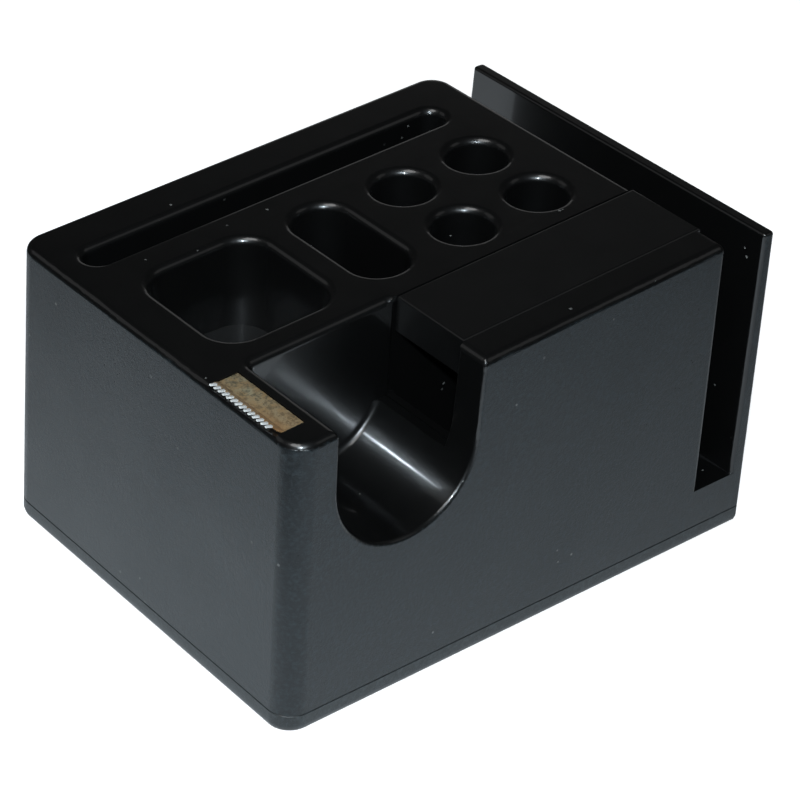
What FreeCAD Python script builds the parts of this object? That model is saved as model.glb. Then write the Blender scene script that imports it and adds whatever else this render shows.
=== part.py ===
import FreeCAD, Part
import math
import os

# Desk organizer with a tape dispenser and a drawer.
# Millimetres. +X is the right-hand side, +Y the back, +Z up. The origin lies on the desk,
# under the middle of the object. The front is the side towards which tape is pulled.

# ---- driving dimensions -------------------------------------------------------------------

# Overall form
CASE_WIDTH = 107.4          # X, at the foot
CASE_DEPTH = 142.4          # Y, at the foot
FRONT_HEIGHT = 75.7         # top edge above the desk, at the front
BACK_HEIGHT = 85.3          # the sloping top carried on to the very back
PANEL_HEIGHT = 82.4         # top of the back panel above the desk
DRAFT_LEFT = 0.0235         # how far each side leans in, per mm of height
DRAFT_RIGHT = 0.0235
DRAFT_FRONT = 0.0165
CORNER_RADIUS = 6.0
PANEL_CORNER_RADIUS = 1.1
BOX_SLOT_CORNER = 1.5       # box corner beside the letter slot's open end
SHARPEST_CORNER = 0.4
WALL = 2.2                  # outer walls
TOP_SKIN = 2.2
INNER_WALL = 1.6            # walls of the pockets
RIM_FILLET = 2.0            # rounded edges of the top and of every opening in it
BITE = 0.5                  # how far a rib runs into the wall that carries it
PAST = 5.0                  # how far a cutting shape runs past what it cuts

# Letter slot between the box and the back panel
LETTER_SLOT_WIDTH = 11.5
LETTER_SLOT_FLOOR = 15.9    # above the desk
PANEL_THICKNESS = 4.7
PANEL_EDGE_FILLET = 0.8

# Base plate
FOOT_HEIGHT = 1.0           # how far the pads lift the base off the desk
FOOT_RADIUS = 5.0
FOOT_THICKNESS = 2.0
FOOT_INSET = 12.0           # pad centre from the front and rear faces
FOOT_FILLET = 0.4
FOOT_TO_SCREW = 1.0         # pad beside the case screw's head
BASE_RIM_HEIGHT = 4.3
BASE_FLOOR = 2.4
BASE_BEVEL = 0.4            # bottom edge's bevel: how far in, and how high
BASE_BEVEL_HEIGHT = 1.2
BASE_SEAM = 0.4             # small chamfer that makes the seam below the housing
LOCATING_LIP_HEIGHT = 1.8
LOCATING_LIP_THICKNESS = 1.2
LOCATING_CLEARANCE = 0.15

# Screws
SCREW_RADIUS = 1.45
SCREW_HEAD_RADIUS = 2.8
SCREW_HEAD_HEIGHT = 1.5
SCREW_LENGTH = 8.0
SCREW_SOCKET_RADIUS = 0.9
SCREW_SOCKET_DEPTH = 0.8
POST_RADIUS = 3.6
POST_INSET = 8.5            # post centre from the outer faces
POST_RIB = 1.6
POST_RIB_GAP = 0.5          # rib above the base's locating lip
SCREW_HOLE_CLEARANCE = 0.25

# Pockets in the top
LONG_SLOT_MARGIN = 14.3     # from the left face to the slot
LONG_SLOT_WIDTH = 8.0
LONG_SLOT_END_FLAT = 0.1    # short flat left in each rounded end
LONG_SLOT_FRONT = 8.7       # from the front face to the slot's end
LONG_SLOT_BACK = 11.7       # from the slot's other end to the back of the box
SLOT_TO_POCKETS = 9.5       # land between the long slot and the pockets
POCKETS_TO_WELL = 7.3       # land between the pockets and the tape well
SQUARE_FRONT = 12.7         # from the front face to the square pocket
SQUARE_CORNER = 8.0
SQUARE_TO_OVAL = 7.8
OVAL_WIDTH = 15.4
OVAL_CORNER = 7.5
OVAL_TO_HOLES = 8.9
PEN_COLUMN_LAND = 6.9       # land between the two columns of pen holes
PENS_TO_WELL = 5.5          # land between the pen holes and the tape well
PEN_ROW_LAND = 8.1          # land between the two rows of pen holes
HOLES_TO_BACK = 11.0        # from the rear pen holes to the back of the box
POCKET_DRAFT = 0.01
POCKET_FLOOR = 33.0         # long slot and oval pocket, above the desk
SQUARE_FLOOR = 55.3
PEN_FLOOR = 9.0

# Scoop under the tape, open to the right and to the top
SCOOP_FRONT = 13.0          # from the front face to the scoop
SCOOP_RADIUS = 19.5
SCOOP_BOTTOM = 41.5         # above the desk
SCOOP_DRAFT = 0.045         # lean of the scoop's rear wall
SCOOP_FILLET = 1.6
SCOOP_RIM_FILLET = 1.0      # rounded U-shaped edge on the right face

# Tape well, its opening and its lid
WELL_RIGHT_MARGIN = 10.5    # from the right face to the well
WELL_WIDTH = 23.0
WELL_WALL_TO_BACK = 5.4     # from the well's rear end to the back of the box
WELL_FLOOR = 9.0
WELL_SIDE_WALL = 3.2
WELL_FRONT_WALL = 2.0
WELL_REAR_WALL = 2.0
MOUTH_SILL = 53.2           # lowest edge of the tape's way out, above the desk
LID_GAP = 0.25
LID_THICKNESS = 2.0
LID_SETBACK = 2.2           # lid's front edge behind the scoop's rear wall
LID_LIP_DROP = 9.1
LID_LIP_THICKNESS = 1.8
LID_EDGE_FILLET = 0.6
LID_EYE_FUSE = 0.1          # how far an eye runs into the lid's plate
LID_LEDGE = 0.8
LID_LEDGE_HEIGHT = 1.6
LID_LEDGE_MARGIN = 6.0      # ledge behind the well's front
LID_LEDGE_TO_GROOVE = 2.0
HINGE_TO_BACK = 4.6         # hinge line in front of the back of the box
HINGE_DROP = 4.2            # hinge line below the top
HINGE_PIN_RADIUS = 1.2
HINGE_PIN_IN_LID = 2.8
HINGE_PIN_IN_WALL = 2.2
HINGE_EYE_RADIUS = 2.7
HINGE_EYE_WIDTH = 4.0
HINGE_CLEARANCE = 0.05
HINGE_BLOCK_DEPTH = 9.0     # solid corner of the well below the hinge line
LID_SWING_CLEARANCE = 0.4

# Core for a 25.4 mm tape ring
HUB_RADIUS = 12.4
HUB_WIDTH = 21.4
HUB_FLANGE_RADIUS = 13.6
HUB_FLANGE = 0.9
HUB_WALL = 1.6
HUB_BORE = 2.6
HUB_BOSS = 4.4
HUB_RIBS = 6
HUB_RIB = 1.2
HUB_WEB = 1.6
HUB_RIB_SETBACK = 1.0       # ribs end short of the split between the halves
HUB_RIB_BITE = 0.3
HUB_AXIS_HEIGHT = 43.0
AXLE_RADIUS = 2.55
AXLE_END_RADIUS = 2.0
AXLE_REACH = 1.6            # how far each end stands into its groove
AXLE_SHOULDER = 0.6         # thick middle beyond each side of the core
AXLE_GROOVE_CLEARANCE = 0.3
AXLE_SEAT_CLEARANCE = 0.05

# Cutter
CUTTER_LEDGE = 2.7          # front face to the teeth's roots
BLADE_SIDE_OFFSET = 1.3     # blade's left end to the right of the well's left side
BLADE_WIDTH = 22.9
BLADE_DEPTH = 6.5
BLADE_THICKNESS = 0.5
BLADE_RISE = 0.5            # front strip stands up by this much
BLADE_STRIP = 1.4
BLADE_TANG = 6.0            # bent-down rear edge that is pressed into the housing
BLADE_TANG_INSET = 2.0      # tang's ends inside the blade's ends
BLADE_PAD = 3.0             # plastic under the tang
BLADE_SEAT_DEPTH = 0.7
BLADE_CLEARANCE = 0.15
TOOTH_LENGTH = 1.5
TOOTH_COUNT = 14
TOOTH_BAND = 20.8           # width that carries teeth
PLAIN_END_SETBACK = 0.2     # toothless end in front of the teeth's roots

# Ballast
BALLAST_WIDTH = 26.0
BALLAST_DEPTH = 34.0
BALLAST_HEIGHT = 24.0
BALLAST_CHAMFER = 1.5
BALLAST_TOP_CHAMFER = 0.75
BALLAST_GAP = 3.0
BALLAST_SCREW_PITCH = 20.0

# Drawer
DRAWER_HEIGHT = 20.0
DRAWER_FRONT_MARGIN = 14.0  # from the front face to the drawer
GUIDE_TO_PENS = 3.2         # rear guide in front of the pen holes' wall
DRAWER_CLEARANCE = 0.5
DRAWER_WALL = 1.8
DRAWER_FRONT_PLATE = 2.6
DRAWER_INNER_RADIUS = 3.0
DRAWER_STOP = 2.6           # how far the stop stands above the drawer's rear wall
DRAWER_STOP_RIB = 1.6
GRIP_WIDTH = 24.0
GRIP_RADIUS = 13.0
STOP_WIDTH = 20.0
DRAWER_SILL_GAP = 0.3       # drawer above the rim of the base
GUIDE_WALL = 1.6
GUIDE_FLANGE = 3.0
GUIDE_FOOT = 6.5
GUIDE_FOOT_THICKNESS = 3.0
GUIDE_SCREW_LENGTH = 3.5
GUIDE_SCREW_SHARES = (0.35, 0.85)   # screws' places along a guide
GUIDE_TO_POST = 1.0
RUNNER_WIDTH = 2.0
RUNNER_INSET = 8.0          # runner's middle from the drawer's sides
RUNNER_CLEARANCE = 0.1

# ---- places worked out from the dimensions above --------------------------------------------

LEFT = -CASE_WIDTH / 2
RIGHT = CASE_WIDTH / 2
FRONT = -CASE_DEPTH / 2
BACK = CASE_DEPTH / 2
BASE_BOTTOM = FOOT_HEIGHT
BASE_TOP = FOOT_HEIGHT + BASE_RIM_HEIGHT
BASE_FLOOR_TOP = BASE_BOTTOM + BASE_FLOOR
POST_TOP = LETTER_SLOT_FLOOR - WALL / 2
HEAD_PLANE = BASE_BOTTOM + SCREW_HEAD_HEIGHT
PANEL_FRONT = BACK - PANEL_THICKNESS
BOX_BACK = PANEL_FRONT - LETTER_SLOT_WIDTH
TOP_SLOPE = (BACK_HEIGHT - FRONT_HEIGHT) / CASE_DEPTH
ABOVE = BACK_HEIGHT + 4 * PAST      # safely above everything

WELL_RIGHT = RIGHT - WELL_RIGHT_MARGIN
WELL_LEFT = WELL_RIGHT - WELL_WIDTH
WELL_MIDDLE = (WELL_LEFT + WELL_RIGHT) / 2
SCOOP_Y0 = FRONT + SCOOP_FRONT
SCOOP_Y1 = SCOOP_Y0 + 2 * SCOOP_RADIUS
SCOOP_AXIS_Z = SCOOP_BOTTOM + SCOOP_RADIUS
SCOOP_LEAN = SCOOP_DRAFT * (BACK_HEIGHT - SCOOP_AXIS_Z)
WELL_FRONT = SCOOP_Y1 + SCOOP_LEAN + WELL_FRONT_WALL
WELL_BACK = BOX_BACK - WELL_WALL_TO_BACK
HUB_AXIS_Y = (WELL_FRONT + WELL_BACK) / 2
LID_FRONT = SCOOP_Y1 + LID_SETBACK

SLOT_LEFT = LEFT + LONG_SLOT_MARGIN
SLOT_RIGHT = SLOT_LEFT + LONG_SLOT_WIDTH
SLOT_Y0 = FRONT + LONG_SLOT_FRONT
SLOT_Y1 = BOX_BACK - LONG_SLOT_BACK
GROUP_LEFT = SLOT_RIGHT + SLOT_TO_POCKETS
GROUP_RIGHT = WELL_LEFT - POCKETS_TO_WELL
PEN_BORE = (WELL_LEFT - PENS_TO_WELL - GROUP_LEFT - PEN_COLUMN_LAND) / 2
PEN_Y1 = BOX_BACK - HOLES_TO_BACK - PEN_BORE / 2
PEN_Y0 = PEN_Y1 - PEN_BORE - PEN_ROW_LAND
OVAL_Y1 = PEN_Y0 - PEN_BORE / 2 - OVAL_TO_HOLES
OVAL_Y0 = OVAL_Y1 - OVAL_WIDTH
SQUARE_Y0 = FRONT + SQUARE_FRONT
SQUARE_Y1 = OVAL_Y0 - SQUARE_TO_OVAL

HINGE_Y = BOX_BACK - HINGE_TO_BACK


def top_at(y):
    """Height of the sloping top at depth y."""
    return FRONT_HEIGHT + TOP_SLOPE * (y - FRONT)


HINGE_Z = top_at(HINGE_Y) - HINGE_DROP

DRAWER_Y0 = FRONT + DRAWER_FRONT_MARGIN
DRAWER_Y1 = PEN_Y0 - PEN_BORE / 2 - INNER_WALL - GUIDE_TO_PENS - GUIDE_WALL - DRAWER_CLEARANCE
DRAWER_Z0 = BASE_TOP + DRAWER_SILL_GAP
DRAWER_Z1 = DRAWER_Z0 + DRAWER_HEIGHT
DRAWER_END = WELL_LEFT - WELL_SIDE_WALL - BALLAST_GAP
DRAWER_MIDDLE = (DRAWER_Y0 + DRAWER_Y1) / 2
STOP_RIB_RIGHT = (SLOT_LEFT + SLOT_RIGHT + DRAWER_STOP_RIB) / 2
GUIDE_START = LEFT + POST_INSET + POST_RADIUS + GUIDE_TO_POST


def face_left(z):
    """X of the leaning left face at height z."""
    return LEFT + DRAFT_LEFT * (z - BASE_BOTTOM)


def face_right(z):
    """X of the leaning right face at height z."""
    return RIGHT - DRAFT_RIGHT * (z - BASE_BOTTOM)


def face_front(z):
    """Y of the leaning front face at height z."""
    return FRONT + DRAFT_FRONT * (z - BASE_BOTTOM)


# ---- shape helpers --------------------------------------------------------------------------

def box(x0, x1, y0, y1, z0, z1):
    """Block between two opposite corners."""
    return Part.makeBox(x1 - x0, y1 - y0, z1 - z0, FreeCAD.Vector(x0, y0, z0))


def cylinder(radius, start, direction, length):
    """Round bar from a start point."""
    return Part.makeCylinder(radius, length, FreeCAD.Vector(*start), FreeCAD.Vector(*direction))


def rounded_outline(x0, x1, y0, y1, z, radii):
    """Closed outline; radii are for the front-left, front-right, back-right, back-left corners."""
    front_left, front_right, back_right, back_left = radii
    quarter_turn = math.pi / 2
    corners = [
        (x0 + front_left, y0 + front_left, front_left),
        (x1 - front_right, y0 + front_right, front_right),
        (x1 - back_right, y1 - back_right, back_right),
        (x0 + back_left, y1 - back_left, back_left),
    ]
    arcs = []
    for index, (centre_x, centre_y, radius) in enumerate(corners):
        points = []
        for step in (0, 1, 2):
            turn = (index + 2 + step / 2) * quarter_turn
            points.append(FreeCAD.Vector(centre_x + radius * math.cos(turn),
                                         centre_y + radius * math.sin(turn), z))
        arcs.append(Part.Arc(*points).toShape())
    edges = []
    for index, arc in enumerate(arcs):
        following = arcs[(index + 1) % len(arcs)]
        edges.append(arc)
        start_point = arc.Vertexes[-1].Point
        end_point = following.Vertexes[0].Point
        if start_point.distanceToPoint(end_point) > 1e-6:
            edges.append(Part.LineSegment(start_point, end_point).toShape())
    return Part.Wire(edges)


def leaning_block(inset, y0, y1, z0, z1, radii):
    """Block whose left, right and front sides follow the leaning outer faces, set in by inset."""
    outlines = []
    for z in (z0, z1):
        outlines.append(rounded_outline(face_left(z) + inset, face_right(z) - inset,
                                        y0 + (face_front(z) - FRONT), y1, z, radii))
    return Part.makeLoft(outlines, True, True)


def pocket_block(x0, x1, y0, y1, z0, z1, radius, grow=0.0):
    """Upright pocket shape that narrows a little downwards; grow adds a wall all round."""
    outlines = []
    for z in (z0, z1):
        lean = POCKET_DRAFT * (z1 - z) - grow
        corner = radius - lean
        outlines.append(rounded_outline(x0 + lean, x1 - lean, y0 + lean, y1 - lean, z,
                                        (corner, corner, corner, corner)))
    return Part.makeLoft(outlines, True, True)


def side_prism(points, x0, x1):
    """Prism along X of a closed polygon given as (y, z) points."""
    vectors = [FreeCAD.Vector(x0, y, z) for y, z in points]
    face = Part.Face(Part.makePolygon(vectors + vectors[:1]))
    return face.extrude(FreeCAD.Vector(x1 - x0, 0, 0))


def under_top(offset):
    """Everything below the sloping top, lowered by offset."""
    y0 = FRONT - PAST
    y1 = BACK + PAST
    outline = [(y0, -PAST), (y1, -PAST), (y1, top_at(y1) - offset), (y0, top_at(y0) - offset)]
    return side_prism(outline, LEFT - PAST, RIGHT + PAST)


def join(shapes):
    """One solid from shapes that touch."""
    return shapes[0].fuse(list(shapes[1:])).removeSplitter()


def rises(edge):
    """Whether an edge runs upwards for more than a hair."""
    return edge.BoundBox.ZMax - edge.BoundBox.ZMin > BITE


def fillet_edges(shape, radius, wanted):
    """Round the edges for which wanted(edge) holds."""
    return shape.makeFillet(radius, [edge for edge in shape.Edges if wanted(edge)])


def save(name, shape):
    """Write one sub-part as its own file."""
    solids = shape.Solids
    result = solids[0] if len(solids) == 1 else Part.makeCompound(solids)
    result.exportStep("parts/" + name + ".step")


# ---- housing --------------------------------------------------------------------------------

BOX_RADII = (CORNER_RADIUS, CORNER_RADIUS, BOX_SLOT_CORNER, CORNER_RADIUS)
FOOT_RADII = (CORNER_RADIUS, CORNER_RADIUS, PANEL_CORNER_RADIUS, PANEL_CORNER_RADIUS)
PANEL_RADII = (PANEL_CORNER_RADIUS,) * 4


TIGHT_RADII = (SHARPEST_CORNER,) * 4


def set_in(radii, inset):
    """Corner radii of an outline that is set in by inset."""
    return tuple(max(radius - inset, SHARPEST_CORNER) for radius in radii)


def scoop_prism(x0, x1, grow):
    """U-shaped scoop along X; grow adds a wall on its underside."""
    radius = SCOOP_RADIUS + grow
    middle = (SCOOP_Y0 + SCOOP_Y1) / 2
    lean = SCOOP_DRAFT * (ABOVE - SCOOP_AXIS_Z)
    left_top = FreeCAD.Vector(x0, middle - radius, ABOVE)
    left_low = FreeCAD.Vector(x0, middle - radius, SCOOP_AXIS_Z)
    lowest = FreeCAD.Vector(x0, middle, SCOOP_AXIS_Z - radius)
    right_low = FreeCAD.Vector(x0, middle + radius, SCOOP_AXIS_Z)
    right_top = FreeCAD.Vector(x0, middle + radius + lean, ABOVE)
    outline = Part.Wire([
        Part.LineSegment(left_top, left_low).toShape(),
        Part.Arc(left_low, lowest, right_low).toShape(),
        Part.LineSegment(right_low, right_top).toShape(),
        Part.LineSegment(right_top, left_top).toShape(),
    ])
    return Part.Face(outline).extrude(FreeCAD.Vector(x1 - x0, 0, 0))


def scoop_space():
    """The scoop as it is cut, with a rounded meeting of its end wall and trough."""
    space = scoop_prism(WELL_LEFT, RIGHT + PAST, 0)
    return fillet_edges(space, SCOOP_FILLET, lambda edge: edge.BoundBox.XMax < WELL_LEFT + BITE
                        and edge.BoundBox.ZMin < ABOVE - BITE)


def pen_holes(grow, floor_drop):
    """The four round pen holes, grown by a wall."""
    shapes = []
    for x in (GROUP_LEFT + PEN_BORE / 2, WELL_LEFT - PENS_TO_WELL - PEN_BORE / 2):
        for y in (PEN_Y0, PEN_Y1):
            start = (x, y, PEN_FLOOR - floor_drop)
            shapes.append(cylinder(PEN_BORE / 2 + grow, start, (0, 0, 1), ABOVE - start[2]))
    return shapes


def pocket_shapes(grow, floor_drop):
    """The long slot, the square and oval pockets and the pen holes, grown by a wall."""
    end_radius = (LONG_SLOT_WIDTH - LONG_SLOT_END_FLAT) / 2
    low = POCKET_FLOOR - floor_drop
    shapes = [
        pocket_block(SLOT_LEFT, SLOT_RIGHT, SLOT_Y0, SLOT_Y1, low, ABOVE, end_radius, grow),
        pocket_block(GROUP_LEFT, GROUP_RIGHT, SQUARE_Y0, SQUARE_Y1, SQUARE_FLOOR - floor_drop, ABOVE,
                     SQUARE_CORNER, grow),
        pocket_block(GROUP_LEFT, GROUP_RIGHT, OVAL_Y0, OVAL_Y1, low, ABOVE, OVAL_CORNER, grow),
    ]
    return shapes + pen_holes(grow, floor_drop)


def on_top(edge):
    """Whether an edge lies in the sloping top."""
    middle = edge.valueAt((edge.FirstParameter + edge.LastParameter) / 2)
    points = [vertex.Point for vertex in edge.Vertexes] + [middle]
    return all(math.isclose(point.z, top_at(point.y), abs_tol=1e-3) for point in points)


def on_scoop_rim(edge):
    """Whether an edge is part of the scoop's U on the right face."""
    bounds = edge.BoundBox
    on_right_face = bounds.XMin > face_right(BACK_HEIGHT) - BITE
    beside_scoop = bounds.YMin > SCOOP_Y0 - BITE and bounds.YMax < SCOOP_Y1 + SCOOP_LEAN + BITE
    return on_right_face and beside_scoop and bounds.ZMin > SCOOP_BOTTOM - BITE


def outer_block():
    """The housing's outer form with its pockets and scoop: box, foot and back panel."""
    body = leaning_block(0, FRONT, BOX_BACK, BASE_TOP, ABOVE, BOX_RADII).common(under_top(0))
    body = body.cut(pocket_shapes(0, 0) + [scoop_space()])
    body = fillet_edges(body, RIM_FILLET, on_top)
    body = fillet_edges(body, SCOOP_RIM_FILLET, on_scoop_rim)
    foot = leaning_block(0, FRONT, BACK, BASE_TOP, LETTER_SLOT_FLOOR, FOOT_RADII)
    foot = foot.cut(pen_holes(0, 0))
    panel = leaning_block(0, PANEL_FRONT, BACK, BASE_TOP, PANEL_HEIGHT, PANEL_RADII)
    panel = fillet_edges(panel, PANEL_EDGE_FILLET, lambda edge: edge.BoundBox.ZMin > PANEL_HEIGHT - BITE)
    return join([body, foot, panel])


def well_space():
    """The tape well with its way out to the scoop and the seat of the lid."""
    space = box(WELL_LEFT, WELL_RIGHT, WELL_FRONT, WELL_BACK, WELL_FLOOR, ABOVE)
    mouth = box(WELL_LEFT, WELL_RIGHT, SCOOP_Y0 + SCOOP_RADIUS, WELL_FRONT + BITE, MOUTH_SILL, ABOVE)
    swing_radius = math.hypot(HINGE_TO_BACK, HINGE_DROP) + LID_SWING_CLEARANCE
    swing = cylinder(swing_radius, (WELL_LEFT, HINGE_Y, HINGE_Z), (1, 0, 0), WELL_WIDTH)
    swing_way = box(WELL_LEFT, WELL_RIGHT, HINGE_Y - BITE, BOX_BACK + BITE, HINGE_Z, ABOVE)
    return join([space, mouth, swing, swing_way])


def axle_grooves():
    """Open-topped grooves in the well's side walls, in which the axle's ends rest."""
    radius = AXLE_END_RADIUS + AXLE_GROOVE_CLEARANCE
    depth = AXLE_REACH + AXLE_GROOVE_CLEARANCE
    low = HUB_AXIS_HEIGHT - AXLE_END_RADIUS - AXLE_SEAT_CLEARANCE + radius
    x0 = WELL_LEFT - depth
    x1 = WELL_RIGHT + depth
    upright = box(x0, x1, HUB_AXIS_Y - radius, HUB_AXIS_Y + radius, low,
                  top_at(HUB_AXIS_Y) - LID_THICKNESS - LID_GAP)
    seat = cylinder(radius, (x0, HUB_AXIS_Y, low), (1, 0, 0), x1 - x0)
    return join([upright, seat])


def lid_ledges():
    """Two short rails under the lid's long edges."""
    rails = []
    y0 = WELL_FRONT + LID_LEDGE_MARGIN
    y1 = HUB_AXIS_Y - AXLE_END_RADIUS - LID_LEDGE_TO_GROOVE
    under_lid = LID_THICKNESS + LID_GAP
    for x0, x1 in ((WELL_LEFT - BITE, WELL_LEFT + LID_LEDGE), (WELL_RIGHT - LID_LEDGE, WELL_RIGHT + BITE)):
        high = [(y0, top_at(y0) - under_lid), (y1, top_at(y1) - under_lid)]
        low = [(y1, high[1][1] - LID_LEDGE_HEIGHT), (y0, high[0][1] - LID_LEDGE_HEIGHT)]
        rails.append(side_prism(high + low, x0, x1))
    return rails


def blade_place():
    """Left and right ends of the blade, and the depth of its rear edge."""
    left = WELL_LEFT + BLADE_SIDE_OFFSET
    return left, left + BLADE_WIDTH, FRONT + CUTTER_LEDGE + BLADE_DEPTH


def blade_seat():
    """Recess for the blade in the ledge, open to the front, with a slit for its tang."""
    left, right, rear = blade_place()
    left -= BLADE_CLEARANCE
    right += BLADE_CLEARANCE
    rear += BLADE_CLEARANCE
    front = FRONT + CUTTER_LEDGE - TOOTH_LENGTH - BLADE_CLEARANCE
    outline = [
        (front, top_at(front) - BLADE_SEAT_DEPTH),
        (rear, top_at(rear) - BLADE_SEAT_DEPTH),
        (rear, ABOVE),
        (front, ABOVE),
    ]
    recess = side_prism(outline, left, right)
    slit_front = rear - BLADE_THICKNESS - 2 * BLADE_CLEARANCE
    slit_low = top_at(rear) - BLADE_SEAT_DEPTH - BLADE_TANG - BLADE_CLEARANCE
    slit = box(left + BLADE_TANG_INSET, right - BLADE_TANG_INSET, slit_front, rear, slit_low, ABOVE)
    return join([recess, slit])


def drawer_stop_rib():
    """Rib under the long slot that the drawer's stop meets when it is pulled right out."""
    return box(STOP_RIB_RIGHT - DRAWER_STOP_RIB, STOP_RIB_RIGHT, DRAWER_MIDDLE - STOP_WIDTH / 2,
               DRAWER_MIDDLE + STOP_WIDTH / 2, DRAWER_Z1 + DRAWER_CLEARANCE, POCKET_FLOOR - INNER_WALL + BITE)


def post_places():
    """Centres of the posts that take the case screws."""
    return [
        (LEFT + POST_INSET, FRONT + POST_INSET),
        (RIGHT - POST_INSET, FRONT + POST_INSET),
        (LEFT + POST_INSET, BACK - POST_INSET),
        (RIGHT - POST_INSET, BACK - POST_INSET),
    ]


def housing():
    """The moulded case with all its pockets, the tape well, the letter slot and the back panel."""
    block = outer_block()
    block = block.cut([well_space(), blade_seat(), axle_grooves()])

    hollow = leaning_block(WALL, FRONT + WALL, BOX_BACK - WALL, BASE_TOP - BITE, ABOVE,
                           set_in(BOX_RADII, WALL)).common(under_top(TOP_SKIN))
    foot_hollow = leaning_block(WALL, BOX_BACK - WALL - CORNER_RADIUS, BACK - WALL, BASE_TOP - BITE,
                                LETTER_SLOT_FLOOR - WALL, TIGHT_RADII)
    left, right, rear = blade_place()
    filled = pocket_shapes(INNER_WALL, INNER_WALL)
    filled += [
        scoop_prism(WELL_LEFT - WALL, RIGHT + PAST, WALL),
        box(WELL_LEFT - WELL_SIDE_WALL, WELL_RIGHT + WELL_SIDE_WALL, WELL_FRONT - WELL_FRONT_WALL,
            WELL_BACK + WELL_REAR_WALL, WELL_FLOOR - INNER_WALL, ABOVE),
        box(WELL_LEFT - WELL_SIDE_WALL, WELL_RIGHT + WELL_SIDE_WALL, WELL_BACK, BOX_BACK,
            HINGE_Z - HINGE_BLOCK_DEPTH, ABOVE),
        box(left - WALL, right + WALL, FRONT, rear + WALL, top_at(rear) - BLADE_TANG - BLADE_PAD, ABOVE),
    ]
    way_top = DRAWER_Z1 + DRAWER_CLEARANCE
    drawer_way = box(LEFT - PAST, face_left(way_top) + WALL + BITE, DRAWER_Y0 - DRAWER_CLEARANCE,
                     DRAWER_Y1 + DRAWER_CLEARANCE, BASE_TOP - BITE, way_top)
    block = block.cut([hollow.cut(filled), foot_hollow.cut(filled), drawer_way])

    posts = []
    for x, y in post_places():
        post = cylinder(POST_RADIUS, (x, y, BASE_FLOOR_TOP), (0, 0, 1), POST_TOP - BASE_FLOOR_TOP)
        in_wall = x + math.copysign(POST_INSET - WALL / 2, x)
        rib = box(min(x, in_wall), max(x, in_wall), y - POST_RIB / 2, y + POST_RIB / 2,
                  BASE_TOP + LOCATING_LIP_HEIGHT + POST_RIB_GAP, POST_TOP)
        posts += [post, rib]
    block = join([block] + posts + lid_ledges() + [drawer_stop_rib()])
    holes = [cylinder(SCREW_RADIUS, (x, y, BASE_BOTTOM), (0, 0, 1), SCREW_LENGTH + BASE_FLOOR)
             for x, y in post_places()]
    pins = [lid_pin(side, HINGE_CLEARANCE) for side in (-1, 1)]
    return block.cut(holes + pins)


# ---- base -----------------------------------------------------------------------------------

def screws(places, length):
    """Self-tapping screws driven up through the base, their heads sunk into it."""
    bodies = []
    for x, y in places:
        shank = cylinder(SCREW_RADIUS, (x, y, HEAD_PLANE), (0, 0, 1), length)
        head = cylinder(SCREW_HEAD_RADIUS, (x, y, BASE_BOTTOM), (0, 0, 1), SCREW_HEAD_HEIGHT)
        socket = cylinder(SCREW_SOCKET_RADIUS, (x, y, BASE_BOTTOM), (0, 0, 1), SCREW_SOCKET_DEPTH)
        bodies.append(join([shank, head]).cut(socket))
    return Part.makeCompound(bodies)


def foot_places():
    """Names and centres of the four pads."""
    x = CASE_WIDTH / 2 - POST_INSET - SCREW_HEAD_RADIUS - FOOT_TO_SCREW - FOOT_RADIUS
    y = CASE_DEPTH / 2 - FOOT_INSET
    return {
        "foot_front_left": (-x, -y),
        "foot_front_right": (x, -y),
        "foot_rear_left": (-x, y),
        "foot_rear_right": (x, y),
    }


def foot(x, y):
    """Soft disc set half into the base."""
    disc = cylinder(FOOT_RADIUS, (x, y, 0), (0, 0, 1), FOOT_THICKNESS)
    return fillet_edges(disc, FOOT_FILLET, lambda edge: edge.BoundBox.ZMax < FOOT_FILLET)


def ballast_screw_places():
    """Centres of the two screws that hold the weight."""
    x = ballast_box()[0] + BALLAST_WIDTH / 2
    y = (ballast_box()[1] + ballast_box()[2]) / 2
    return [(x, y - BALLAST_SCREW_PITCH / 2), (x, y + BALLAST_SCREW_PITCH / 2)]


def ballast_box():
    """Left side, front and rear of the weight."""
    y0 = FRONT + POST_INSET + POST_RADIUS + BALLAST_GAP
    return WELL_LEFT + BALLAST_GAP, y0, y0 + BALLAST_DEPTH


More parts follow.
